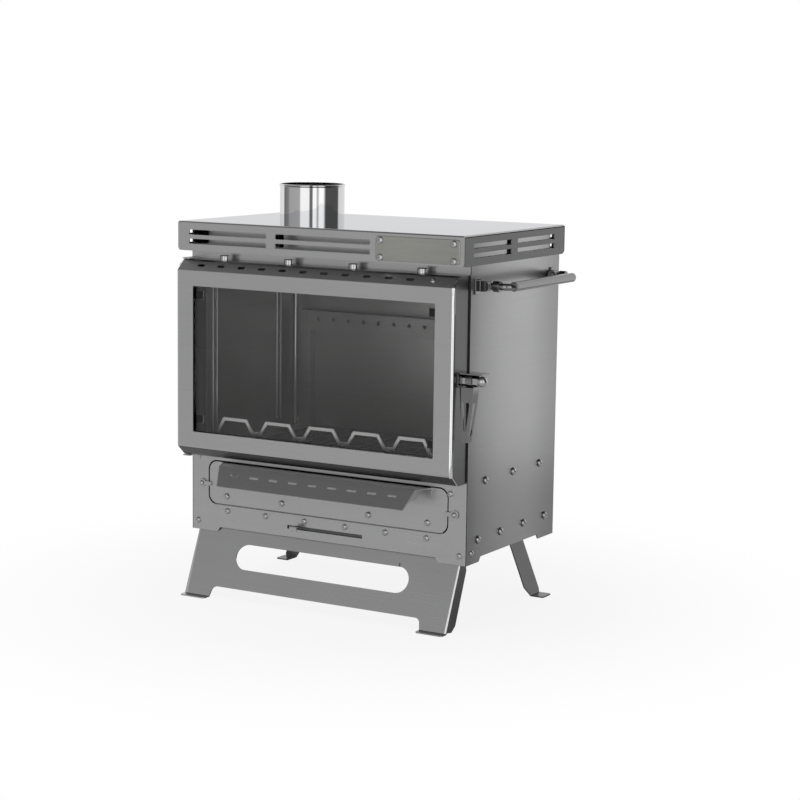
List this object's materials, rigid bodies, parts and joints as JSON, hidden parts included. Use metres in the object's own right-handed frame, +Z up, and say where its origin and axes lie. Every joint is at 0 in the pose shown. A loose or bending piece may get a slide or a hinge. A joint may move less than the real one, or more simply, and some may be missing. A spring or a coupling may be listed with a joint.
{
  "type": "tent wood stove",
  "caption": "Compact stainless wood stove with a windowed door, ash drawer, bottom air damper, flue collar, folding legs and fold-down carry handles.",
  "frame": {"origin": "on the floor, under the middle of the stove's bounding box", "axes": "+Z up, -Y out of the door, +X to the right as seen from the front"},
  "size_m": [0.463, 0.2646, 0.49],
  "materials": {
    "brushed_steel": "fine brushed",
    "mirror_steel": "polished top",
    "firebox_steel": "dull",
    "polished_steel": "polished",
    "window_glass": "clear heat glass",
    "cast_grate": "as cast",
    "seal_rope": "woven glass fibre"
  },
  "bodies": {
    "root": {"front_panel": "brushed_steel", "rear_panel": "brushed_steel", "left_side_panel": "brushed_steel", "right_side_panel": "brushed_steel", "floor_plate": "brushed_steel", "air_box": "brushed_steel", "damper_guides": "brushed_steel", "seam_screws": "polished_steel", "side_bolts": "polished_steel", "fire_shelf": "firebox_steel", "fire_grate": "cast_grate", "firebox_roof": "firebox_steel", "baffle_plate": "firebox_steel", "left_liner": "firebox_steel", "right_liner": "firebox_steel", "rear_liner": "firebox_steel", "secondary_air_box": "firebox_steel", "air_duct": "firebox_steel", "log_guard": "firebox_steel", "cooktop": "mirror_steel", "flue_collar": "polished_steel", "name_plate": "brushed_steel", "name_plate_screws": "polished_steel", "door_hinges": "brushed_steel", "latch_keeper": "brushed_steel", "drawer_runners": "brushed_steel", "button_screws": "polished_steel", "leg_bolts": "polished_steel", "rear_leg_hinges": "brushed_steel", "handle_brackets": "brushed_steel"},
    "door": {"door_frame": "brushed_steel", "door_gasket": "seal_rope", "door_glass": "window_glass", "glass_clips": "brushed_steel", "door_studs": "polished_steel", "latch_cover": "brushed_steel"},
    "latch": {"latch_shaft": "polished_steel", "latch_handle": "brushed_steel", "latch_cam": "brushed_steel"},
    "drawer": {"drawer_front": "brushed_steel", "ash_tray": "brushed_steel", "drawer_hood": "brushed_steel", "drawer_screws": "polished_steel"},
    "damper": {"air_damper": "brushed_steel"},
    "left_button": {"left_turn_button": "brushed_steel"},
    "right_button": {"right_turn_button": "brushed_steel"},
    "front_leg": {"front_leg_plate": "brushed_steel"},
    "left_leg": {"rear_left_leg": "brushed_steel"},
    "right_leg": {"rear_right_leg": "brushed_steel"},
    "left_handle": {"left_carry_handle": "polished_steel"},
    "right_handle": {"right_carry_handle": "polished_steel"}
  },
  "joints": [
    {"name": "door_swing", "type": "hinge", "parent": "root", "child": "door", "pos_m": [-0.1837, -0.11075, 0.2875], "axis": [0, 0, -1], "range_deg": [0, 110]},
    {"name": "latch_turn", "type": "hinge", "parent": "door", "child": "latch", "pos_m": [0.19, -0.11075, 0.29], "axis": [-1, 0, 0], "range_deg": [0, 90]},
    {"name": "drawer_slide", "type": "slide", "parent": "root", "child": "drawer", "axis": [0, -1, 0], "range_m": [0, 0.15]},
    {"name": "damper_slide", "type": "slide", "parent": "root", "child": "damper", "axis": [1, 0, 0], "range_m": [0, 0.08]},
    {"name": "left_button_turn", "type": "hinge", "parent": "root", "child": "left_button", "pos_m": [-0.1744, -0.09515, 0.133], "axis": [0, 1, 0], "range_deg": [-90, 90]},
    {"name": "right_button_turn", "type": "hinge", "parent": "root", "child": "right_button", "pos_m": [0.1744, -0.09515, 0.133], "axis": [0, 1, 0], "range_deg": [-90, 90]},
    {"name": "front_leg_fold", "type": "hinge", "parent": "root", "child": "front_leg", "pos_m": [0, -0.08175, 0.088], "axis": [1, 0, 0], "range_deg": [0, 112]},
    {"name": "left_leg_fold", "type": "hinge", "parent": "root", "child": "left_leg", "pos_m": [-0.13928, 0.10425, 0.0825], "axis": [0, -1, 0], "range_deg": [0, 112]},
    {"name": "right_leg_fold", "type": "hinge", "parent": "root", "child": "right_leg", "pos_m": [0.13928, 0.10425, 0.0825], "axis": [0, 1, 0], "range_deg": [0, 112]},
    {"name": "left_handle_fold", "type": "hinge", "parent": "root", "child": "left_handle", "pos_m": [-0.1975, 0.01325, 0.392], "axis": [0, -1, 0], "range_deg": [0, 90]},
    {"name": "right_handle_fold", "type": "hinge", "parent": "root", "child": "right_handle", "pos_m": [0.1975, 0.01325, 0.392], "axis": [0, 1, 0], "range_deg": [0, 90]}
  ]
}
